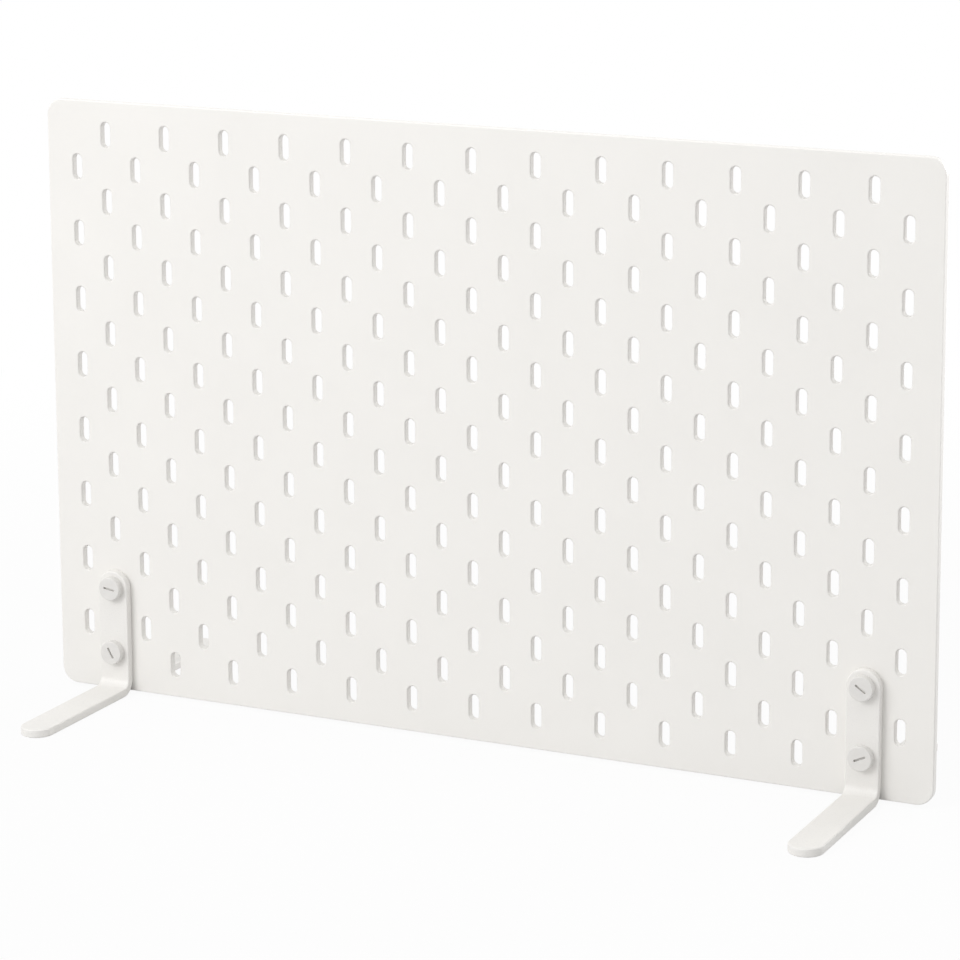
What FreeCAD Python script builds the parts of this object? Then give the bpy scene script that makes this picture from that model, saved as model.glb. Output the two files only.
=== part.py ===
"""Free-standing slotted pegboard on two clamped bracket feet.

Millimetres. +Z is up, +X runs along the board and -Y is the front. The origin lies on
the table, under the middle of the board's length and thickness.

A lacquered board with a staggered field of upright slots stands between two pairs of
bent flat-bar brackets. Each pair, one bracket in front and its mirror image behind, is
clamped on the board by two slotted screws with cap nuts, and the board hangs by the top
ends of four slots on the screws' shanks.
"""
import FreeCAD, Part
import math
import os

from FreeCAD import Vector

# Board: the slot field sets its size.
SLOT_PITCH = 20.0           # between neighbouring columns, and between neighbouring rows
COLUMNS = 27
ROWS = 17
EDGE_MARGIN = 20.0          # from the outer slot centres to the board's edge
BOARD_THICKNESS = 5.0
BOARD_CORNER_RADIUS = 10.0
BOARD_EDGE_ROUND = 0.8
SLOT_WIDTH = 6.0
SLOT_LENGTH = 15.0
BOARD_CLEARANCE = 1.5       # from the table up to the board's lower edge

# Brackets: flat bar with rounded long edges, bent once, with round ends.
FOOT_COLUMN = 1             # the feet stand on the second column from each end
SCREW_ROWS = (0, 2)         # counted up from the lowest row
BAR_WIDTH = 20.0
BAR_THICKNESS = 5.0
BAR_EDGE_ROUND = 0.9
BEND_INNER_RADIUS = 5.0
FOOT_REACH = 100.0          # from the board's face to the tip of the foot
BRACKET_HOLE_CLEARANCE = 0.1    # radial, round the screw's shank

# Screws: flat round head with a thin blind driver slot.
SHANK_DIAMETER = 5.0
SHANK_END_CHAMFER = 0.6
HEAD_DIAMETER = 14.3
HEAD_HEIGHT = 4.4
HEAD_RIM_ROUND = 0.7
DRIVER_SLOT_LENGTH = 7.5
DRIVER_SLOT_WIDTH = 1.2
DRIVER_SLOT_DEPTH = 1.6
HANG_CLEARANCE = 0.1        # between the shank and the top end of its board slot

# How far each driver slot stands turned from upright, counter-clockwise from the front.
DRIVER_SLOT_TURNS = {
    "left_upper": 81.0,
    "left_lower": 30.0,
    "right_upper": 56.0,
    "right_lower": -65.0,
}

# Cap nuts: hexagon with a dome and a blind bore.
NUT_ACROSS_FLATS = 8.0
NUT_HEX_HEIGHT = 4.5
NUT_HEIGHT = 10.0
NUT_CHAMFER = 0.4
NUT_DOME_STEP = 0.25        # radial, from the flats in to the dome
NUT_ENGAGEMENT = 5.0        # length of shank inside the nut
NUT_BORE_SPARE = 1.5        # depth left beyond the end of the shank
NUT_BORE_CLEARANCE = 0.05   # radial, round the screw's shank

# Sizes and places that follow.
BOARD_LENGTH = (COLUMNS - 1) * SLOT_PITCH + 2 * EDGE_MARGIN
BOARD_HEIGHT = (ROWS - 1) * SLOT_PITCH + 2 * EDGE_MARGIN
BOARD_FACE = BOARD_THICKNESS / 2
BAR_FACE = BOARD_FACE + BAR_THICKNESS
BEND_CENTRE = BAR_THICKNESS + BEND_INNER_RADIUS    # from the leg's back and from the table
SHANK_RADIUS = SHANK_DIAMETER / 2
SHANK_LENGTH = 2 * BAR_FACE + NUT_ENGAGEMENT
UP = Vector(0, 0, 1)
BACKWARD = Vector(0, 1, 0)


def column_x(column):
    """Place of a slot column, counted from the left."""
    return (column - (COLUMNS - 1) / 2) * SLOT_PITCH


def row_z(row):
    """Height of a slot row, counted up from the lowest."""
    return BOARD_CLEARANCE + EDGE_MARGIN + row * SLOT_PITCH


def screw_z(row):
    """Height of a screw whose shank bears on the top end of the row's slot."""
    return row_z(row) + SLOT_LENGTH / 2 - HANG_CLEARANCE - SHANK_RADIUS


def has_slot(column, row):
    """The slots stagger: every second place of each row and column is left solid."""
    return (column + row) % 2 == 1


def line(*points):
    """Straight edge between two points."""
    return Part.LineSegment(*points).toShape()


def arc(*points):
    """Arc through three points."""
    return Part.Arc(*points).toShape()


def obround_prism(length, width, front, back):
    """Upright obround centred on the Y axis, from one y to another."""
    radius = width / 2
    reach = length / 2 - radius
    left_low, left_high, right_high, right_low = [
        Vector(x, front, z) for x, z in ((-radius, -reach), (-radius, reach),
                                         (radius, reach), (radius, -reach))]
    outline = Part.Wire([
        line(left_low, left_high),
        arc(left_high, Vector(0, front, reach + radius), right_high),
        line(right_high, right_low),
        arc(right_low, Vector(0, front, -reach - radius), left_low),
    ])
    return Part.Face(outline).extrude(BACKWARD * (back - front))


def turned(profile):
    """Solid of revolution about the Y axis from a profile of (radius, y) points."""
    points = [Vector(radius, y, 0) for radius, y in profile]
    return Part.Face(Part.makePolygon(points + points[:1])).revolve(Vector(), BACKWARD, 360)


def face_edges(solid, y):
    """Edges of a solid that lie in the plane at the given y."""
    return [edge for edge in solid.Edges
            if max(abs(edge.BoundBox.YMin - y), abs(edge.BoundBox.YMax - y)) < 1e-3]


def slotted_board():
    """Board with rounded corners and rims and its staggered field of slots."""
    plate = Part.makeBox(BOARD_LENGTH, BOARD_THICKNESS, BOARD_HEIGHT,
                         Vector(-BOARD_LENGTH / 2, -BOARD_FACE, BOARD_CLEARANCE))
    corners = [edge for edge in plate.Edges if edge.BoundBox.YLength > BOARD_FACE]
    plate = plate.makeFillet(BOARD_CORNER_RADIUS, corners)
    rims = face_edges(plate, -BOARD_FACE) + face_edges(plate, BOARD_FACE)
    plate = plate.makeFillet(BOARD_EDGE_ROUND, rims)
    slot = obround_prism(SLOT_LENGTH, SLOT_WIDTH, -BOARD_THICKNESS, BOARD_THICKNESS)
    slots = [slot.translated(Vector(column_x(column), 0, row_z(row)))
             for column in range(COLUMNS) for row in range(ROWS) if has_slot(column, row)]
    return plate.cut(Part.makeCompound(slots))


def half_bar_section():
    """Right half of the bar's rounded section, level, at the top of the bend."""
    inner = -BOARD_FACE
    outer = -BAR_FACE
    side = BAR_WIDTH / 2
    flat = side - BAR_EDGE_ROUND
    dent = BAR_EDGE_ROUND * (1 - math.sqrt(0.5))
    z = BEND_CENTRE
    return Part.Face(Part.Wire([
        line(Vector(0, inner, z), Vector(flat, inner, z)),
        arc(Vector(flat, inner, z), Vector(side - dent, inner - dent, z),
            Vector(side, inner - BAR_EDGE_ROUND, z)),
        line(Vector(side, inner - BAR_EDGE_ROUND, z), Vector(side, outer + BAR_EDGE_ROUND, z)),
        arc(Vector(side, outer + BAR_EDGE_ROUND, z), Vector(side - dent, outer + dent, z),
            Vector(flat, outer, z)),
        line(Vector(flat, outer, z), Vector(0, outer, z)),
        line(Vector(0, outer, z), Vector(0, inner, z)),
    ]))


def front_bracket():
    """Bracket at x = 0: the section is run up the leg, round the bend, along the foot
    and round both ends, as one half that is then mirrored."""
    leg_rise = screw_z(SCREW_ROWS[-1]) - BEND_CENTRE
    foot_run = FOOT_REACH - BEND_CENTRE - BAR_WIDTH / 2
    bend_y = -BOARD_FACE - BEND_CENTRE

    level = half_bar_section()
    bend = level.revolve(Vector(0, bend_y, BEND_CENTRE), Vector(1, 0, 0), -90)
    upright = level.copy()
    upright.rotate(Vector(0, bend_y, BEND_CENTRE), Vector(1, 0, 0), -90)
    leg = level.extrude(UP * leg_rise)
    foot = upright.extrude(-BACKWARD * foot_run)
    leg_end = level.translated(UP * leg_rise).revolve(
        Vector(0, 0, BEND_CENTRE + leg_rise), BACKWARD, -90)
    foot_end = upright.translated(-BACKWARD * foot_run).revolve(
        Vector(0, bend_y - foot_run, 0), UP, -90)

    half = leg.fuse([bend, foot, leg_end, foot_end])
    bar = half.fuse(half.mirror(Vector(), Vector(1, 0, 0))).removeSplitter()
    holes = [Part.makeCylinder(SHANK_RADIUS + BRACKET_HOLE_CLEARANCE, 2 * BAR_FACE,
                               Vector(0, -2 * BAR_FACE, screw_z(row)), BACKWARD)
             for row in SCREW_ROWS]
    return bar.cut(Part.makeCompound(holes))


def screw(turn):
    """Screw along Y with the underside of its head at y = 0 and the head in front."""
    body = turned([
        (0, -HEAD_HEIGHT), (HEAD_DIAMETER / 2, -HEAD_HEIGHT), (HEAD_DIAMETER / 2, 0),
        (SHANK_RADIUS, 0), (SHANK_RADIUS, SHANK_LENGTH - SHANK_END_CHAMFER),
        (SHANK_RADIUS - SHANK_END_CHAMFER, SHANK_LENGTH), (0, SHANK_LENGTH)])
    body = body.makeFillet(HEAD_RIM_ROUND, face_edges(body, -HEAD_HEIGHT))
    driver_slot = obround_prism(DRIVER_SLOT_LENGTH, DRIVER_SLOT_WIDTH,
                                -2 * HEAD_HEIGHT, DRIVER_SLOT_DEPTH - HEAD_HEIGHT)
    driver_slot.rotate(Vector(), -BACKWARD, turn)
    return body.cut(driver_slot)


def cap_nut():
    """Cap nut along Y with its seat at y = 0 and its dome behind."""
    flat = NUT_ACROSS_FLATS / 2
    corner = flat / math.cos(math.radians(30))
    corners = [Vector(corner * math.cos(math.radians(60 * turn)), 0,
                      corner * math.sin(math.radians(60 * turn))) for turn in range(7)]
    hexagon = Part.Face(Part.makePolygon(corners)).extrude(BACKWARD * NUT_HEX_HEIGHT)
    chamfers = turned([
        (0, 0), (flat, 0), (corner, NUT_CHAMFER), (corner, NUT_HEX_HEIGHT - NUT_CHAMFER),
        (flat, NUT_HEX_HEIGHT), (0, NUT_HEX_HEIGHT)])
    dome_radius = flat - NUT_DOME_STEP
    neck = Part.makeCylinder(dome_radius, NUT_HEIGHT - dome_radius, Vector(), BACKWARD)
    dome = Part.makeSphere(dome_radius, Vector(0, NUT_HEIGHT - dome_radius, 0))
    bore = Part.makeCylinder(SHANK_RADIUS + NUT_BORE_CLEARANCE,
                             NUT_ENGAGEMENT + NUT_BORE_SPARE, Vector(), BACKWARD)
    return hexagon.common(chamfers).fuse([neck, dome]).removeSplitter().cut(bore)


def sub_parts():
    """Every piece of the assembly in its place, by name."""
    pieces = {"slotted_board": slotted_board()}
    bracket = front_bracket()
    mirrored_bracket = bracket.mirror(Vector(), BACKWARD)
    nut = cap_nut()
    for side, column in (("left", FOOT_COLUMN), ("right", COLUMNS - 1 - FOOT_COLUMN)):
        x = column_x(column)
        pieces[side + "_front_bracket"] = bracket.translated(Vector(x, 0, 0))
        pieces[side + "_rear_bracket"] = mirrored_bracket.translated(Vector(x, 0, 0))
        for level, row in zip(("lower", "upper"), SCREW_ROWS):
            place = side + "_" + level
            pieces[place + "_screw"] = screw(DRIVER_SLOT_TURNS[place]).translated(
                Vector(x, -BAR_FACE, screw_z(row)))
            pieces[place + "_nut"] = nut.translated(Vector(x, BAR_FACE, screw_z(row)))
    return pieces


os.makedirs("parts", exist_ok=True)
for name, shape in sub_parts().items():
    shape.exportStep("parts/" + name + ".step")
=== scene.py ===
"""Looks of a free-standing slotted pegboard on two pairs of clamped bracket feet.

Metres, +Z up, the board's face towards -Y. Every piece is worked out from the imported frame's
boxes and the named sizes below, as closed surfaces whose normals are known in formula.
"""
import math

import bpy
import numpy as np
from mathutils import Matrix, Vector


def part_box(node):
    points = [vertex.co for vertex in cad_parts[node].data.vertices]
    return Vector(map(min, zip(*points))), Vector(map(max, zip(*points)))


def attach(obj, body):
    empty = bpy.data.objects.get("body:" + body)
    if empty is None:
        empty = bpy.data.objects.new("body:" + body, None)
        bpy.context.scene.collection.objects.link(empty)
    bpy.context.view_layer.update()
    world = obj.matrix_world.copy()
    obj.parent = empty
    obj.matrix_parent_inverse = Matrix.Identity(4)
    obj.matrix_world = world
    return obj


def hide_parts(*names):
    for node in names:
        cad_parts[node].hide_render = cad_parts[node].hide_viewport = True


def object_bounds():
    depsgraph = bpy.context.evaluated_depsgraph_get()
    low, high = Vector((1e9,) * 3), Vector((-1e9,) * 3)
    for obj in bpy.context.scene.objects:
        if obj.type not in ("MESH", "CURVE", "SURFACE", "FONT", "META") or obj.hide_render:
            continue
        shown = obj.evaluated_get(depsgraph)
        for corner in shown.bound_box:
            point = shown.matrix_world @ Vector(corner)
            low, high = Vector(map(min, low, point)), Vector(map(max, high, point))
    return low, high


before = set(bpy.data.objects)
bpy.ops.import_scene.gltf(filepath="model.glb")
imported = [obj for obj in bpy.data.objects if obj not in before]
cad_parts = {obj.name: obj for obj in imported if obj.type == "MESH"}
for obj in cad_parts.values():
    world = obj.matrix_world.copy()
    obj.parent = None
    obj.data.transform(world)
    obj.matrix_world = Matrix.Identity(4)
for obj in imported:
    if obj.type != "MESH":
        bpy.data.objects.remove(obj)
cad_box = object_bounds()

MM = 0.001
QUARTER = math.pi / 2
RIGHT, BACK, UP = np.eye(3)

# Slotted board
SLOT_PITCH = 20 * MM
SLOT_WIDTH = 6 * MM
SLOT_LENGTH = 15 * MM
EDGE_MARGIN = 20 * MM       # from the outer slot centres to the board's edge
SLOT_LIP = 0.8 * MM         # rounding of each slot's mouth
OUTLINE_STRIP = 10 * MM      # along the board's outline, where its edge is coated like its face and gets none of the slot walls' painted shade
BOARD_RIM = 0.8 * MM        # rounding of the board's own edges
CELL_STEPS = 5              # mesh steps along one side of a slot's square cell
LIP_STEPS = 1               # mesh steps over one slot lip
CORNER_STEPS = 8            # mesh steps round a corner of the board
RIM_STEPS = 4               # mesh steps over a rounded edge elsewhere

# Brackets
BAR_WIDTH = 20 * MM
BAR_THICKNESS = 5 * MM
BAR_RIM = 0.9 * MM          # rounding of the bar's edges
BAR_STEPS = 8               # mesh steps across a bracket's bar
BEND_OUTER = 10 * MM
BEND_STEPS = 10             # mesh rows round the bend
FOOT_STEPS = 4              # mesh rows along the straight foot
SCREW_SPACING = 40 * MM
SCREW_HOLE = 2.6 * MM       # radius

# Screws
HEAD_RADIUS = 7.15 * MM
HEAD_HEIGHT = 4.4 * MM
HEAD_RIM = 0.7 * MM
HEAD_FOOT = 0.25 * MM       # rounding where the head meets the bracket
SHANK_RADIUS = 2.5 * MM
SHANK_CHAMFER = 0.6 * MM
THREAD_PITCH = 0.8 * MM
THREAD_DEPTH = 0.42 * MM
THREAD_START = 1.2 * MM     # from the underside of the head
THREAD_ROWS = 6             # mesh rows in one pitch
DRIVER_SLOT_LENGTH = 7.5 * MM
DRIVER_SLOT_WIDTH = 1.2 * MM
DRIVER_SLOT_DEPTH = 1.6 * MM
DRIVER_SLOT_LIP = 0.15 * MM
ROUND_STEPS = 48            # mesh steps round a head or shank

# Driver slots: degrees counter-clockwise from upright, seen from the front.
DRIVER_SLOT_TURNS = {"left_upper": 81, "left_lower": 30, "right_upper": 56, "right_lower": -65}

# Cap nuts
NUT_FLAT = 4 * MM           # from the axis to a flat
NUT_HEX_HEIGHT = 4.5 * MM
NUT_HEIGHT = 10 * MM
NUT_NECK = 3.75 * MM        # radius of the neck and the dome
NUT_CORNER = 0.3 * MM
NUT_BORE = 2.55 * MM
NUT_BORE_DEPTH = 6.5 * MM
NUT_CHAMFER_SLOPE = 0.65    # rise over run of the cone that trims the hexagon's corners
NUT_STEPS = 8               # mesh steps along one side and its corner
DOME_STEPS = 10             # mesh rows over the dome

# Noises in the finishes
NOISE_ROUGHNESS = 0.55
NOISE_SPAN = (0.3, 0.7)     # most of a noise's values lie between these

# Lacquer on the board. Colours are linear, and a pair goes from darker to lighter.
LACQUER_WHITES = ((0.842, 0.826, 0.797), (0.858, 0.842, 0.813))
LACQUER_ROUGHNESS = (0.36, 0.43)
LACQUER_CLOUD = 60 * MM
LACQUER_PEEL = 2.2 * MM
LACQUER_PEEL_HEIGHT = 0.03 * MM
LACQUER_GRAIN = 0.5 * MM
LACQUER_GRAIN_HEIGHT = 0.004 * MM
LACQUER_GRAIN_ROUGHNESS = 0.03

# Slot walls: darker whites that are painted shade in the slots, over fibres that show through
# a drier coat
WALL_FIBRE_AND_SHADE_WHITES = ((0.762, 0.747, 0.722), (0.830, 0.815, 0.790))
WALL_DRYNESS = 0.22         # added to the roughness
WALL_FULL = 1.55 * MM       # from the board's middle out to here the wall is at its driest and has its full painted shade
WALL_END = 2.2 * MM         # and from here on it is coated and coloured like the face, without painted shade
FIBRE = 0.45 * MM
FIBRE_STRETCH = (1, 0.2, 1)
FIBRE_SPAN = (0.35, 0.7)    # the fibres' noise from darker to lighter
FIBRE_HEIGHT = 0.03 * MM

# Powder coat on the brackets
POWDER_WHITES = ((0.820, 0.805, 0.778), (0.838, 0.823, 0.796))
POWDER_PIT_ROUGHNESS = 0.50
POWDER_CREST_ROUGHNESS = 0.38
POWDER_CLOUD = 25 * MM
POWDER_PEBBLE = 0.75 * MM
POWDER_PEBBLE_HEIGHT = 0.035 * MM
POWDER_PIT_SPAN = (0.22, 0.42)
POWDER_PIT_SHADE = 0.93     # painted shade: share of the white left at the bottom of a pit
POWDER_GRAIN = 0.25 * MM
POWDER_GRAIN_HEIGHT = 0.006 * MM

# Plastic of the screws and nuts
PLASTIC_WHITES = ((0.718, 0.705, 0.683), (0.748, 0.734, 0.711))
PLASTIC_ROUGHNESS = (0.40, 0.46)
PLASTIC_FLOW = 5 * MM
PLASTIC_FLOW_STRETCH = (1, 0.5, 1)
PLASTIC_FLOW_HEIGHT = 0.02 * MM
PLASTIC_SATIN = 0.22 * MM
PLASTIC_SATIN_HEIGHT = 0.008 * MM
PLASTIC_SATIN_ROUGHNESS = 0.04

# Camera
AIM = Vector((0.0568, 0, 0.2622))
CAMERA_DISTANCE = 1.9613
CAMERA_AZIMUTH = math.radians(24.6)    # round to the right of straight in front
CAMERA_ELEVATION = math.radians(11.24)
CAMERA_LENS = 131.3         # mm
CAMERA_SHIFT = (-0.0881, -0.18)
CAMERA_REACH = 100          # farthest distance drawn

# Floor and lights
FLOOR_HALF = 6.0            # half the side of its square
FLOOR_GREY = 0.72
FLOOR_WHITENING = 0.93      # near the object
SHADOW_KEPT_TO = 0.35       # distances from the middle of the floor
WHITE_BEYOND = 1.1
AMBIENT = 0.51              # even light from all round
MIDDLE = Vector((0, 0, 0.18))
RIGHT_EDGE = Vector((0.28, 0, 0.30))
LAMPS = (                   # name, place, target, width, spread in degrees, power in watts
    ("key", Vector((-1.4, -2.3, 1.5)), MIDDLE, 1.9, 180, 44),
    ("overhead", Vector((0, -0.15, 1.7)), MIDDLE, 1.8, 180, 10),
    ("rim", Vector((0.95, 1.9, 0.7)), MIDDLE, 1.0, 180, 17),
    ("strip", Vector((0.8, 0.03, 0.36)), RIGHT_EDGE, 0.3, 60, 0.13))


# ---------------------------------------------------------------- surfaces

class Surface:
    """A closed surface gathered from patches. Each patch is one or more grids of places,
    with the outward normal at every place."""

    def __init__(self):
        self.places = []
        self.normals = []
        self.quads = []
        self.count = 0

    def add(self, places, normals):
        """Adds grids of shape (..., rows, columns, 3). A quad joins each place to its next
        row and column, and is turned so that it faces along its normals."""
        places, normals = np.broadcast_arrays(places, normals)
        rows, columns = places.shape[-3:-1]
        size = places.size // 3
        index = np.arange(size).reshape(-1, rows, columns)
        quads = np.stack([index[:, :-1, :-1], index[:, 1:, :-1],
                          index[:, 1:, 1:], index[:, :-1, 1:]], -1).reshape(-1, 4)
        places = places.reshape(-1, 3)
        normals = normals.reshape(-1, 3)
        corner = places[quads]
        facing = np.cross(corner[:, 2] - corner[:, 0], corner[:, 3] - corner[:, 1])
        inward = (facing * normals[quads].sum(1)).sum(1) < 0
        quads[inward] = quads[inward, ::-1]
        self.places.append(places)
        self.normals.append(normals)
        self.quads.append(quads + self.count)
        self.count += size

    def piece(self, name, material, node, body, slot, mirror=(1, 1, 1)):
        """The mesh object: places that fall in one grain of space are welded, quads with a
        side of no length become triangles, and each face corner keeps its patch's normal.
        The grains' borders are set off, because many places lie on whole or half grains."""
        places = np.concatenate(self.places) * mirror
        normals = np.concatenate(self.normals) * mirror
        quads = np.concatenate(self.quads)
        if np.prod(mirror) < 0:
            quads = quads[:, ::-1]
        grain = 1e-6
        set_off = 0.137
        keys = np.floor(places / grain + set_off).astype(np.int64)
        _, first, welded = np.unique(keys, axis=0, return_index=True, return_inverse=True)
        corners = welded.reshape(-1)[quads]
        repeats = corners == np.roll(corners, -1, axis=1)
        whole = ~repeats.any(1)
        thin = repeats.sum(1) == 1
        faces = corners[whole].tolist() + corners[thin][~repeats[thin]].reshape(-1, 3).tolist()
        sources = np.concatenate([quads[whole].reshape(-1), quads[thin][~repeats[thin]]])
        mesh = bpy.data.meshes.new(name)
        mesh.from_pydata(places[first].tolist(), [], faces)
        mesh.shade_smooth()
        mesh.normals_split_custom_set(normals[sources].tolist())
        mesh.materials.append(material)
        thing = bpy.data.objects.new(name, mesh)
        bpy.context.scene.collection.objects.link(thing)
        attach(thing, body)
        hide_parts(node)
        return thing


def rolled_edge(steps, radius, half_thickness):
    """A plate's edge in section, from the front face over one rounded rim, across and over
    the other to the back face. Four values for each place: how far it stands out of the
    inner edge of the rims, how deep it lies behind the plate's middle, and the normal's
    shares outwards and to the front, which are the sine and cosine round each rim."""
    angles = np.linspace(0, QUARTER, steps + 1)
    outward = np.concatenate([np.sin(angles), np.sin(angles[::-1])])
    frontward = np.concatenate([np.cos(angles), -np.cos(angles[::-1])])
    side = np.repeat([1, -1], steps + 1)
    depth = side * (radius - half_thickness) - radius * frontward
    return radius * outward, depth, outward, frontward


def directions(angles):
    """Unit vectors in the upright plane, counter-clockwise from +X seen from the front."""
    return np.cos(angles)[..., None] * RIGHT + np.sin(angles)[..., None] * UP


def square_ring(steps, shift):
    """Places round a square of half side 1, as (a, b), from shift steps past the middle of
    the side a = 1: each coordinate is the distance walked round the square, folded to a
    zigzag and cut off at the sides."""
    way_round = 8
    walk = (np.arange(steps + 1) % steps + shift) * (way_round / steps)

    def zigzag(distance):
        return np.clip(np.abs(distance % way_round - way_round / 2) - 2, -1, 1)

    return zigzag(walk), zigzag(walk - 2)


def loops(centre, core, out, radii, depths):
    """Rows of places round an axis along Y: each row is the core line moved outwards by the
    row's radius and backwards by its depth."""
    radii = np.asarray(radii, float)[:, None, None]
    depths = np.asarray(depths, float)[:, None, None]
    return centre + core + out * radii + depths * BACK


# ---------------------------------------------------------------- slotted board

def board_surface(low, high):
    """The board, low to high. Each slot cell is a square ring that narrows to the slot's
    outline, rolls over the lip by a quarter circle, runs through and rolls out behind. The
    margin is the same kind of profile carried round the field of cells."""
    surface = Surface()
    face = (high.y - low.y) / 2
    middle = (high.y + low.y) / 2
    columns = round((high.x - low.x - 2 * EDGE_MARGIN) / SLOT_PITCH) + 1
    rows = round((high.z - low.z - 2 * EDGE_MARGIN) / SLOT_PITCH) + 1
    column, row = np.meshgrid(np.arange(columns), np.arange(rows), indexing="ij")
    centres = ((low.x + EDGE_MARGIN + column * SLOT_PITCH)[..., None] * RIGHT
               + (low.z + EDGE_MARGIN + row * SLOT_PITCH)[..., None] * UP + middle * BACK)
    has_slot = (column + row) % 2 == 1

    # Slots: square ring, lip, wall, lip, square ring.
    half_cell = SLOT_PITCH / 2
    around = 4 * CELL_STEPS
    side_a, side_b = square_ring(around, 0.5)
    square = half_cell * (side_a[:, None] * RIGHT + side_b[:, None] * UP)
    end_steps = 2 * CELL_STEPS
    step = np.arange(around + 1) % around
    out = directions((step % end_steps) * (math.pi / (end_steps - 1))
                     + (step // end_steps) * math.pi)
    reach = (SLOT_LENGTH - SLOT_WIDTH) / 2
    core = np.where(step < end_steps, reach, -reach)[:, None] * UP
    inset, depth, outward, frontward = rolled_edge(LIP_STEPS, SLOT_LIP, face)
    mouth = loops(0, core, out, SLOT_WIDTH / 2 + SLOT_LIP - inset, depth)
    mouth_normal = loops(0, 0, out, -outward, -frontward)
    surface.add(mouth + centres[has_slot][:, None, None], mouth_normal)
    for side, edge in ((-BACK, mouth[0]), (BACK, mouth[-1])):
        surface.add(np.stack([square + face * side, edge])
                    + centres[has_slot][:, None, None], side)

    # Places left solid: a flat square in front and one behind.
    line = np.linspace(-half_cell, half_cell, CELL_STEPS + 1)
    flat = line[:, None, None] * RIGHT + line[None, :, None] * UP
    for side in (-BACK, BACK):
        surface.add(flat + face * side + centres[~has_slot][:, None, None], side)

    # Margin: the profile runs out from the field, over the rim, through and back.
    half_x = columns * half_cell
    half_z = rows * half_cell
    walk_x = np.linspace(-half_x, half_x, columns * CELL_STEPS + 1)
    walk_z = np.linspace(-half_z, half_z, rows * CELL_STEPS + 1)
    fan = directions(np.linspace(-QUARTER, 0, CORNER_STEPS + 1))
    bases = []
    outs = []
    for quarter, walk, half_along, half_across in (
            (0, walk_x, half_x, half_z), (1, walk_z, half_z, half_x),
            (2, walk_x, half_x, half_z), (3, walk_z, half_z, half_x)):
        turned = np.array(Matrix.Rotation(-quarter * QUARTER, 3, "Y")).T
        edge = walk[:, None] * RIGHT - half_across * UP
        corner = np.repeat([half_along * RIGHT - half_across * UP], len(fan), axis=0)
        bases += [edge @ turned, corner @ turned]
        outs += [np.repeat([-UP], len(walk), axis=0) @ turned, fan @ turned]
    base = np.concatenate(bases + [bases[0][:1]])
    out = np.concatenate(outs + [outs[0][:1]])
    centre = centres.reshape(-1, 3).mean(0)
    inset, depth, outward, frontward = rolled_edge(RIM_STEPS, BOARD_RIM, face)
    rim = loops(centre, base, out, EDGE_MARGIN - half_cell - BOARD_RIM + inset, depth)
    surface.add(rim, loops(0, 0, out, outward, -frontward))
    for side, edge in ((-BACK, rim[0]), (BACK, rim[-1])):
        surface.add(np.stack([centre + base + face * side, edge]), side)
    return surface


# ---------------------------------------------------------------- brackets

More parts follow.
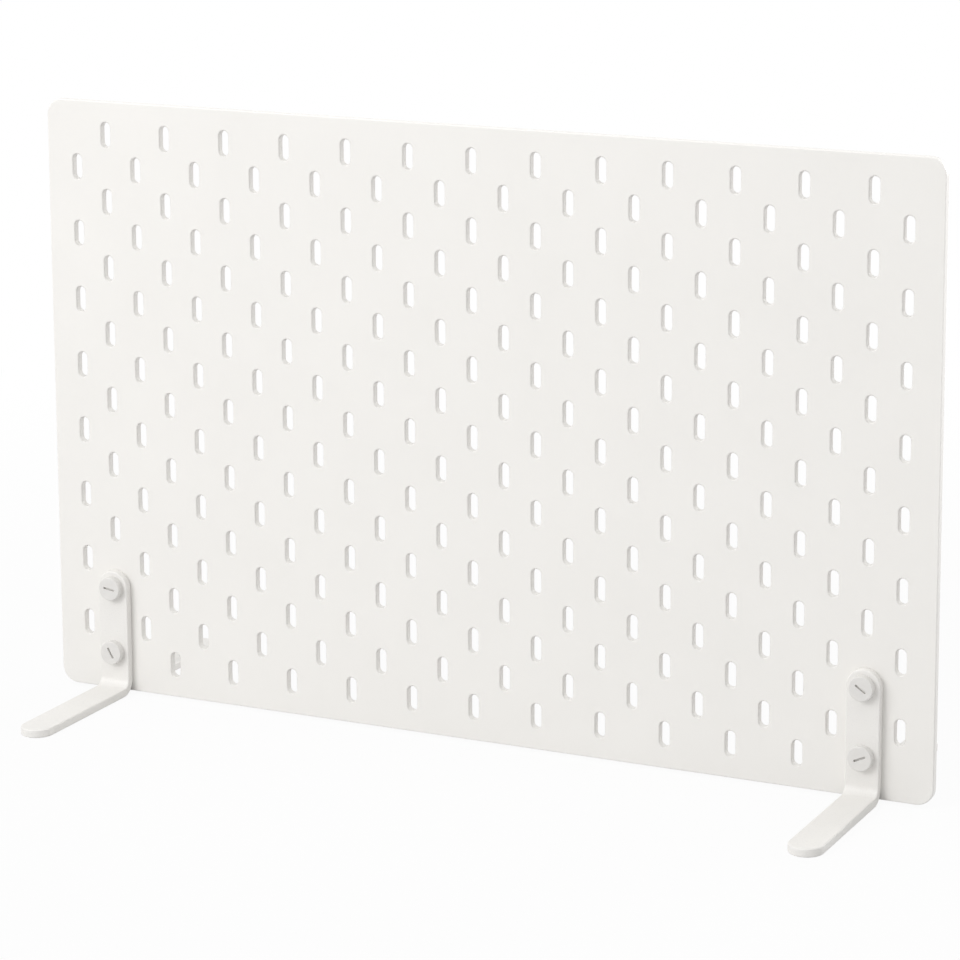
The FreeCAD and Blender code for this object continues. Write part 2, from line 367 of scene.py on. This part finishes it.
def bracket_surface(axis_x, back_y, upper_hole_z, tip_y):
    """A bracket in front of the board. Its outline is drawn flat: x across, and s down the
    leg from the upper screw hole, on round the bend and along the foot. Folding leaves s up
    to the bend straight, turns the next quarter circle, and lays the rest on the table."""
    surface = Surface()
    leg = upper_hole_z - BEND_OUTER
    bend = BEND_OUTER * QUARTER
    end = leg + bend + (back_y - BEND_OUTER - BAR_WIDTH / 2 - tip_y)
    flat = BAR_WIDTH / 2 - BAR_RIM
    half_bar = BAR_THICKNESS / 2

    def fold(x, s, depth, out_x, out_up, front):
        angle = np.clip((s - leg) / BEND_OUTER, 0, QUARTER)[..., None]
        facing = np.sin(angle) * UP - np.cos(angle) * BACK
        upward = np.cos(angle) * UP + np.sin(angle) * BACK
        rise = np.clip(leg - s, 0, None)[..., None]
        run = np.clip(s - leg - bend, 0, None)[..., None]
        x, depth, out_x, out_up, front = (
            np.asarray(value, float)[..., None] for value in (x, depth, out_x, out_up, front))
        places = ((axis_x + x) * RIGHT + (back_y - BEND_OUTER - run) * BACK
                  + (BEND_OUTER + rise) * UP + (half_bar - BEND_OUTER - depth) * facing)
        surface.add(places, out_x * RIGHT + out_up * upward + front * facing)

    def both_faces(x, s):
        x, s = np.broadcast_arrays(x, s)
        fold(x, s, -half_bar, 0, 0, 1)
        fold(x, s, half_bar, 0, 0, -1)

    # Faces: a ring round each hole, plain rows between and below, and the round tip.
    around = 4 * BAR_STEPS
    angle = np.arange(around + 1) % around * (2 * math.pi / around)
    square_x, square_up = square_ring(around, 0)
    round_top = angle <= math.pi
    top_x = np.where(round_top, np.cos(angle), square_x)
    top_up = np.where(round_top, np.sin(angle), square_up)
    for hole, edge_x, edge_up in ((0, top_x, top_up), (SCREW_SPACING, square_x, square_up)):
        both_faces(np.stack([SCREW_HOLE * np.cos(angle), flat * edge_x]),
                   hole - np.stack([SCREW_HOLE * np.sin(angle), flat * edge_up]))
        fold(SCREW_HOLE * np.cos(angle), hole - SCREW_HOLE * np.sin(angle) + np.zeros((2, 1)),
             np.array([[-half_bar], [half_bar]]), -np.cos(angle), -np.sin(angle), 0)
    across = np.linspace(-flat, flat, BAR_STEPS + 1)
    between = np.array([flat, SCREW_SPACING - flat])
    below = np.concatenate([[SCREW_SPACING + flat],
                            leg + bend * np.linspace(0, 1, BEND_STEPS + 1),
                            np.linspace(leg + bend, end, FOOT_STEPS + 1)[1:]])
    both_faces(across, between[:, None])
    both_faces(across, below[:, None])
    swing = np.linspace(0, QUARTER, BAR_STEPS + 1)[:, None]
    both_faces(across * np.cos(swing), end + flat * np.sin(swing))

    # Edge: the rolled profile carried up the right side, over the top, down and round the tip.
    quarter_cell = np.linspace(0, 1, BAR_STEPS // 2 + 1)
    side = np.concatenate([flat * quarter_cell, SCREW_SPACING - flat * quarter_cell[::-1],
                           SCREW_SPACING + flat * quarter_cell, below])
    half_turn = np.linspace(0, math.pi, 2 * BAR_STEPS + 1)
    turn = np.concatenate([np.zeros(len(side)), half_turn,
                           np.full(len(side), math.pi), math.pi + half_turn])
    line = np.concatenate([side[::-1], 0 * half_turn, side, end + 0 * half_turn])
    inset, depth, outward, frontward = (
        value[:, None] for value in rolled_edge(RIM_STEPS, BAR_RIM, half_bar))
    fold((flat + inset) * np.cos(turn), line - (flat + inset) * np.sin(turn), depth,
         outward * np.cos(turn), outward * np.sin(turn), frontward)
    return surface


# ---------------------------------------------------------------- screws and nuts

def screw_surface(centre, length, turn):
    """A screw along Y, its head in front of centre and its shank behind. Circles round the
    axis carry the head's profile; the driver slot is a run-out circle about its long axis;
    the shank's radius dips by a cosine of depth over pitch plus angle, which is the thread."""
    surface = Surface()
    half = ROUND_STEPS // 2
    step = np.arange(ROUND_STEPS + 1) % ROUND_STEPS
    angle = turn + (step + 0.5) * (2 * math.pi / ROUND_STEPS)
    out = directions(angle)

    # Face: from the rim in to the driver slot, over its lip, down and across its floor.
    slot_out = directions(turn + (step % half) * (math.pi / (half - 1))
                          + (step // half) * math.pi)
    reach = (DRIVER_SLOT_LENGTH - DRIVER_SLOT_WIDTH) / 2
    core = np.where(step < half, reach, -reach)[:, None] * directions(np.array(turn + QUARTER))
    slot = DRIVER_SLOT_WIDTH / 2
    face = -HEAD_HEIGHT
    floor = face + DRIVER_SLOT_DEPTH
    swing = np.linspace(0, QUARTER, RIM_STEPS + 1)
    sine = np.sin(swing)
    cosine = np.cos(swing)
    lip = loops(centre, core, slot_out, slot + DRIVER_SLOT_LIP * (1 - sine),
                face + DRIVER_SLOT_LIP * (1 - cosine))
    edge = loops(centre, 0, out, [HEAD_RADIUS - HEAD_RIM], [face])
    surface.add(np.concatenate([edge, lip[:1]]), -BACK)
    surface.add(lip, loops(0, 0, slot_out, -sine, -cosine))
    surface.add(loops(centre, core, slot_out, [slot, slot], [face + DRIVER_SLOT_LIP, floor]),
                -slot_out)
    surface.add(loops(centre, core, slot_out, [slot, 0], [floor, floor]), -BACK)

    # Rim, side, rounded foot and underside of the head.
    surface.add(loops(centre, 0, out, HEAD_RADIUS - HEAD_RIM * (1 - sine),
                      face + HEAD_RIM * (1 - cosine)), loops(0, 0, out, sine, -cosine))
    surface.add(loops(centre, 0, out, [HEAD_RADIUS] * 2, [face + HEAD_RIM, -HEAD_FOOT]), out)
    surface.add(loops(centre, 0, out, HEAD_RADIUS - HEAD_FOOT * (1 - cosine),
                      HEAD_FOOT * (sine - 1)), loops(0, 0, out, cosine, sine))
    surface.add(loops(centre, 0, out, [HEAD_RADIUS - HEAD_FOOT, SHANK_RADIUS], [0, 0]), BACK)

    # Shank: plain neck, thread, chamfered end.
    neck = loops(centre, 0, out, [SHANK_RADIUS] * 2, [0, THREAD_START])
    surface.add(neck, out)
    thread_end = length - SHANK_CHAMFER
    rows = round((thread_end - THREAD_START) / THREAD_PITCH * THREAD_ROWS) + 1
    depth = np.linspace(THREAD_START, thread_end, rows)[:, None]
    phase = 2 * math.pi * depth / THREAD_PITCH + angle
    fade = np.clip(np.minimum(depth - THREAD_START, thread_end - depth) / THREAD_PITCH, 0, 1)
    dip = THREAD_DEPTH / 2 * fade
    radius = (SHANK_RADIUS - dip * (1 - np.cos(phase)))[..., None]
    slope = (dip * np.sin(phase))[..., None]
    surface.add(centre + out * radius + depth[..., None] * BACK,
                out + slope * (2 * math.pi / THREAD_PITCH * BACK
                               + directions(angle + QUARTER) / radius))
    tip = SHANK_RADIUS - SHANK_CHAMFER
    surface.add(loops(centre, 0, out, [SHANK_RADIUS, tip], [thread_end, length]), out + BACK)
    surface.add(loops(centre, 0, out, [tip, 0], [length, length]), BACK)
    return surface


def nut_surface(seat):
    """A cap nut along Y with its seat at the given place. The hexagon's outline is a smaller
    hexagon moved outwards by the corner radius along each normal; cones of a given slope trim
    its corners at both ends; the dome is a half circle turned about the axis."""
    surface = Surface()
    flat_angle = np.arange(6)[:, None] * (math.pi / 3) + math.pi / 6
    slide = np.append(np.linspace(-1, 1, NUT_STEPS - 1), 1) * math.tan(math.pi / 6)
    normal_angle = flat_angle + np.append(np.zeros(NUT_STEPS - 1), math.pi / 6)
    core = (NUT_FLAT - NUT_CORNER) * (directions(flat_angle)
                                      + slide[:, None] * directions(flat_angle + QUARTER))
    normal = directions(normal_angle).reshape(-1, 3)
    normal = np.append(normal, normal[:1], axis=0)
    core = core.reshape(-1, 3)
    outline = np.append(core, core[:1], axis=0) + NUT_CORNER * normal
    reach = np.linalg.norm(outline, axis=1, keepdims=True)
    out = outline / reach
    trim = NUT_CHAMFER_SLOPE * (reach - NUT_FLAT)

    seat_edge, top_edge = loops(seat, 0, out, [NUT_FLAT] * 2, [0, NUT_HEX_HEIGHT])
    corner_low = seat + outline + trim * BACK
    corner_high = seat + outline + (NUT_HEX_HEIGHT - trim) * BACK
    surface.add(loops(seat, 0, out, [NUT_BORE, NUT_FLAT], [0, 0]), -BACK)
    surface.add(np.stack([seat_edge, corner_low]), NUT_CHAMFER_SLOPE * out - BACK)
    surface.add(np.stack([corner_low, corner_high]), normal)
    surface.add(np.stack([corner_high, top_edge]), NUT_CHAMFER_SLOPE * out + BACK)
    surface.add(loops(seat, 0, out, [NUT_FLAT, NUT_NECK], [NUT_HEX_HEIGHT] * 2), BACK)
    dome = NUT_HEIGHT - NUT_NECK
    surface.add(loops(seat, 0, out, [NUT_NECK] * 2, [NUT_HEX_HEIGHT, dome]), out)
    swing = np.linspace(0, QUARTER, DOME_STEPS + 1)
    surface.add(loops(seat, 0, out, NUT_NECK * np.cos(swing), dome + NUT_NECK * np.sin(swing)),
                loops(0, 0, out, np.cos(swing), np.sin(swing)))
    surface.add(loops(seat, 0, out, [NUT_BORE] * 2, [0, NUT_BORE_DEPTH]), -out)
    surface.add(loops(seat, 0, out, [NUT_BORE, 0], [NUT_BORE_DEPTH] * 2), -BACK)
    return surface


# ---------------------------------------------------------------- finishes

class Finish:
    """A coat's node material: Object coordinates into noises, and those into the shader."""

    def __init__(self, name):
        self.material = bpy.data.materials.new(name)
        self.material.use_nodes = True
        self.nodes = self.material.node_tree.nodes
        self.links = self.material.node_tree.links
        self.shader = self.nodes["Principled BSDF"]
        self.place = self.nodes.new("ShaderNodeTexCoord").outputs["Object"]

    def noise(self, size, detail, stretch=(1, 1, 1)):
        """Cloudy value from 0 to 1 whose blotches are about the given size."""
        mapping = self.nodes.new("ShaderNodeMapping")
        mapping.inputs["Scale"].default_value = stretch
        self.links.new(self.place, mapping.inputs["Vector"])
        noise = self.nodes.new("ShaderNodeTexNoise")
        noise.inputs["Scale"].default_value = 1 / size
        noise.inputs["Detail"].default_value = detail
        noise.inputs["Roughness"].default_value = NOISE_ROUGHNESS
        self.links.new(mapping.outputs["Vector"], noise.inputs["Vector"])
        return noise.outputs["Fac"]

    def spread(self, value, start, end, low, high):
        """Carries start..end of a value to low..high, clamped."""
        node = self.nodes.new("ShaderNodeMapRange")
        for name, number in (("From Min", start), ("From Max", end),
                             ("To Min", low), ("To Max", high)):
            node.inputs[name].default_value = number
        self.links.new(value, node.inputs["Value"])
        return node.outputs["Result"]

    def swing(self, noise, low, high):
        """Carries a noise's usual values to low..high."""
        return self.spread(noise, *NOISE_SPAN, low, high)

    def math(self, operation, first, second=None):
        """First value and second, a value or a number, through one operation."""
        node = self.nodes.new("ShaderNodeMath")
        node.operation = operation
        self.links.new(first, node.inputs[0])
        if isinstance(second, (int, float)):
            node.inputs[1].default_value = second
        elif second is not None:
            self.links.new(second, node.inputs[1])
        return node.outputs["Value"]

    def blend(self, factor, first, second):
        """Colour from first to second, each a colour or an earlier blend."""
        node = self.nodes.new("ShaderNodeMix")
        node.data_type = "RGBA"
        self.links.new(factor, node.inputs["Factor"])
        for socket, colour in ((node.inputs["A"], first), (node.inputs["B"], second)):
            if isinstance(colour, tuple):
                socket.default_value = (*colour, 1)
            else:
                self.links.new(colour, socket)
        return node.outputs["Result"]

    def shaded(self, colour, value):
        """Colour times a value."""
        node = self.nodes.new("ShaderNodeMix")
        node.data_type = "RGBA"
        node.blend_type = "MULTIPLY"
        node.inputs["Factor"].default_value = 1
        self.links.new(colour, node.inputs["A"])
        self.links.new(value, node.inputs["B"])
        return node.outputs["Result"]

    def relief(self, *layers):
        """Bumps one on another: each layer is a value and its height in metres."""
        below = None
        for value, height in layers:
            bump = self.nodes.new("ShaderNodeBump")
            bump.inputs["Distance"].default_value = height
            self.links.new(value, bump.inputs["Height"])
            if below is not None:
                self.links.new(below, bump.inputs["Normal"])
            below = bump.outputs["Normal"]
        self.links.new(below, self.shader.inputs["Normal"])

    def coat(self, colour, roughness):
        """The material, once its colour and roughness are joined to the shader."""
        self.links.new(colour, self.shader.inputs["Base Color"])
        self.links.new(roughness, self.shader.inputs["Roughness"])
        return self.material


def lacquered_board():
    """White satin lacquer on fibreboard: a soft orange peel, cloudy sheen, and in the slots
    a thinner, drier coat over the board's fibres, with painted shade darkening the slot walls."""
    coat = Finish("white satin lacquer")
    cloud = coat.noise(LACQUER_CLOUD, detail=3)
    peel = coat.noise(LACQUER_PEEL, detail=2)
    grain = coat.noise(LACQUER_GRAIN, detail=2)
    fibre = coat.noise(FIBRE, detail=3, stretch=FIBRE_STRETCH)

    # Slot walls, which get painted shade and a drier coat: near the board's middle plane, and
    # clear of its outline strip.
    split = coat.nodes.new("ShaderNodeSeparateXYZ")
    coat.links.new(coat.place, split.inputs["Vector"])
    low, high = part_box("slotted_board")
    beside = coat.math("GREATER_THAN", coat.math("ABSOLUTE", split.outputs["X"]),
                       high.x - OUTLINE_STRIP)
    over = coat.math("GREATER_THAN", split.outputs["Z"], high.z - OUTLINE_STRIP)
    under = coat.math("LESS_THAN", split.outputs["Z"], low.z + OUTLINE_STRIP)
    on_outline = coat.math("MAXIMUM", beside, coat.math("MAXIMUM", over, under))
    depth = coat.math("ABSOLUTE", split.outputs["Y"])
    wall = coat.math("MULTIPLY", coat.spread(depth, WALL_FULL, WALL_END, 1, 0),
                     coat.math("LESS_THAN", on_outline, 0.5))

    face_white = coat.blend(coat.swing(cloud, 0, 1), *LACQUER_WHITES)
    # Painted shade: the slot walls' whites are darker than the face's, streaked by the fibres.
    wall_fibre_and_shade_white = coat.blend(coat.spread(fibre, *FIBRE_SPAN, 0, 1), *WALL_FIBRE_AND_SHADE_WHITES)
    roughness = coat.math(
        "ADD", coat.swing(cloud, *LACQUER_ROUGHNESS),
        coat.swing(grain, -LACQUER_GRAIN_ROUGHNESS, LACQUER_GRAIN_ROUGHNESS))
    dryness = coat.math("MULTIPLY", wall, WALL_DRYNESS)
    coat.relief((peel, LACQUER_PEEL_HEIGHT), (grain, LACQUER_GRAIN_HEIGHT),
                (coat.math("MULTIPLY", fibre, wall), FIBRE_HEIGHT))
    return coat.coat(coat.blend(wall, face_white, wall_fibre_and_shade_white),
                     coat.math("ADD", roughness, dryness))


def powder_coat():
    """White powder coat on steel bar: a tight pebbled skin, glossier on its crests and a
    little darker in its pits, which is painted shade."""
    coat = Finish("white powder coat")
    cloud = coat.noise(POWDER_CLOUD, detail=3)
    pebble = coat.noise(POWDER_PEBBLE, detail=1)
    grain = coat.noise(POWDER_GRAIN, detail=2)
    white = coat.blend(coat.swing(cloud, 0, 1), *POWDER_WHITES)
    # Painted shade: the white is darkened in the pebble's pits.
    pit_shade = coat.spread(pebble, *POWDER_PIT_SPAN, POWDER_PIT_SHADE, 1)
    coat.relief((pebble, POWDER_PEBBLE_HEIGHT), (grain, POWDER_GRAIN_HEIGHT))
    return coat.coat(coat.shaded(white, pit_shade),
                     coat.swing(pebble, POWDER_PIT_ROUGHNESS, POWDER_CREST_ROUGHNESS))


def moulded_plastic():
    """White fastener plastic: fine satin tooling texture with faint flow clouds."""
    coat = Finish("white moulded plastic")
    flow = coat.noise(PLASTIC_FLOW, detail=4, stretch=PLASTIC_FLOW_STRETCH)
    satin = coat.noise(PLASTIC_SATIN, detail=2)
    white = coat.blend(coat.swing(flow, 0, 1), *PLASTIC_WHITES)
    roughness = coat.math(
        "ADD", coat.swing(flow, *PLASTIC_ROUGHNESS),
        coat.swing(satin, -PLASTIC_SATIN_ROUGHNESS, PLASTIC_SATIN_ROUGHNESS))
    coat.relief((flow, PLASTIC_FLOW_HEIGHT), (satin, PLASTIC_SATIN_HEIGHT))
    return coat.coat(white, roughness)


# ---------------------------------------------------------------- the pegboard

lacquer = lacquered_board()
powder = powder_coat()
plastic = moulded_plastic()

board_surface(*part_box("slotted_board")).piece(
    "board_panel", lacquer, "slotted_board", "board", "board_lacquer")

for side in ("left", "right"):
    low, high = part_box(side + "_front_bracket")
    bar = bracket_surface((low.x + high.x) / 2, high.y, high.z - BAR_WIDTH / 2, low.y)
    bar.piece(side + "_front_bar", powder, side + "_front_bracket", side + "_foot",
              "bracket_paint")
    bar.piece(side + "_rear_bar", powder, side + "_rear_bracket", side + "_foot",
              "bracket_paint", mirror=(1, -1, 1))
    for level in ("lower", "upper"):
        place = side + "_" + level
        low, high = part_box(place + "_screw")
        head_seat = np.array(((low.x + high.x) / 2, low.y + HEAD_HEIGHT, (low.z + high.z) / 2))
        screw_surface(head_seat, high.y - low.y - HEAD_HEIGHT,
                      math.radians(DRIVER_SLOT_TURNS[place])).piece(
            place + "_slotted_screw", plastic, place + "_screw", place + "_screw",
            "fastener_plastic")
        low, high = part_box(place + "_nut")
        nut_seat = np.array(((low.x + high.x) / 2, low.y, (low.z + high.z) / 2))
        nut_surface(nut_seat).piece(
            place + "_cap_nut", plastic, place + "_nut", place + "_nut", "fastener_plastic")


# ---------------------------------------------------------------- camera, floor and light

def looking_from(azimuth, elevation):
    """Unit vector from the aim towards a viewer."""
    return Vector((math.sin(azimuth) * math.cos(elevation),
                   -math.cos(azimuth) * math.cos(elevation), math.sin(elevation)))


def put(name, data, place, target):
    """An object at a place, its -Z turned towards the target."""
    thing = bpy.data.objects.new(name, data)
    thing.location = place
    thing.rotation_euler = (target - place).to_track_quat("-Z", "Y").to_euler()
    bpy.context.scene.collection.objects.link(thing)
    return thing


camera = bpy.data.cameras.new("camera")
camera.lens = CAMERA_LENS
camera.shift_x, camera.shift_y = CAMERA_SHIFT
camera.clip_end = CAMERA_REACH
viewpoint = AIM + CAMERA_DISTANCE * looking_from(CAMERA_AZIMUTH, CAMERA_ELEVATION)
bpy.context.scene.camera = put("camera", camera, viewpoint, AIM)


def seen_directly(nodes, links):
    """1 for camera, glossy and transmitted rays, which should meet a plain white."""
    path = nodes.new("ShaderNodeLightPath")
    total = path.outputs["Is Camera Ray"]
    for ray in ("Is Glossy Ray", "Is Transmission Ray"):
        either = nodes.new("ShaderNodeMath")
        either.operation = "MAXIMUM"
        links.new(total, either.inputs[0])
        links.new(path.outputs[ray], either.inputs[1])
        total = either.outputs["Value"]
    return total


def pale_floor():
    """Matt pale floor, whitened for direct view: wholly far away, and less round the
    object, where it keeps a soft shadow."""
    material = bpy.data.materials.new("pale floor")
    material.use_nodes = True
    nodes = material.node_tree.nodes
    links = material.node_tree.links
    nodes.clear()
    diffuse = nodes.new("ShaderNodeBsdfDiffuse")
    diffuse.inputs["Color"].default_value = (FLOOR_GREY, FLOOR_GREY, FLOOR_GREY, 1)
    glow = nodes.new("ShaderNodeEmission")
    place = nodes.new("ShaderNodeTexCoord")
    distance = nodes.new("ShaderNodeVectorMath")
    distance.operation = "LENGTH"
    links.new(place.outputs["Object"], distance.inputs[0])
    whitening = nodes.new("ShaderNodeMapRange")
    whitening.interpolation_type = "SMOOTHSTEP"
    for name, number in (("From Min", SHADOW_KEPT_TO), ("From Max", WHITE_BEYOND),
                         ("To Min", FLOOR_WHITENING), ("To Max", 1)):
        whitening.inputs[name].default_value = number
    links.new(distance.outputs["Value"], whitening.inputs["Value"])
    share = nodes.new("ShaderNodeMath")
    share.operation = "MULTIPLY"
    links.new(seen_directly(nodes, links), share.inputs[0])
    links.new(whitening.outputs["Result"], share.inputs[1])
    mix = nodes.new("ShaderNodeMixShader")
    links.new(share.outputs["Value"], mix.inputs["Fac"])
    links.new(diffuse.outputs["BSDF"], mix.inputs[1])
    links.new(glow.outputs["Emission"], mix.inputs[2])
    output = nodes.new("ShaderNodeOutputMaterial")
    links.new(mix.outputs["Shader"], output.inputs["Surface"])
    return material


sheet = bpy.data.meshes.new("floor")
sheet.from_pydata([(x * FLOOR_HALF, y * FLOOR_HALF, cad_box[0].z)
                   for x, y in ((-1, -1), (1, -1), (1, 1), (-1, 1))], [], [(0, 1, 2, 3)])
sheet.materials.append(pale_floor())
floor = bpy.data.objects.new("floor", sheet)
bpy.context.scene.collection.objects.link(floor)


def studio_world():
    """Even white light from all round, and plain white where it is seen directly."""
    world = bpy.data.worlds.new("studio")
    world.use_nodes = True
    nodes = world.node_tree.nodes
    links = world.node_tree.links
    light = nodes["Background"]
    light.inputs["Color"].default_value = (1, 1, 1, 1)
    light.inputs["Strength"].default_value = AMBIENT
    seen = nodes.new("ShaderNodeBackground")
    seen.inputs["Color"].default_value = (1, 1, 1, 1)
    mix = nodes.new("ShaderNodeMixShader")
    links.new(seen_directly(nodes, links), mix.inputs["Fac"])
    links.new(light.outputs["Background"], mix.inputs[1])
    links.new(seen.outputs["Background"], mix.inputs[2])
    links.new(mix.outputs["Shader"], nodes["World Output"].inputs["Surface"])
    return world


bpy.context.scene.world = studio_world()
for name, place, target, width, spread, power in LAMPS:
    lamp = bpy.data.lights.new(name, "AREA")
    lamp.size = width
    lamp.spread = math.radians(spread)
    lamp.energy = power
    put(name, lamp, place, target).visible_camera = False

bpy.context.scene.view_settings.view_transform = "Standard"
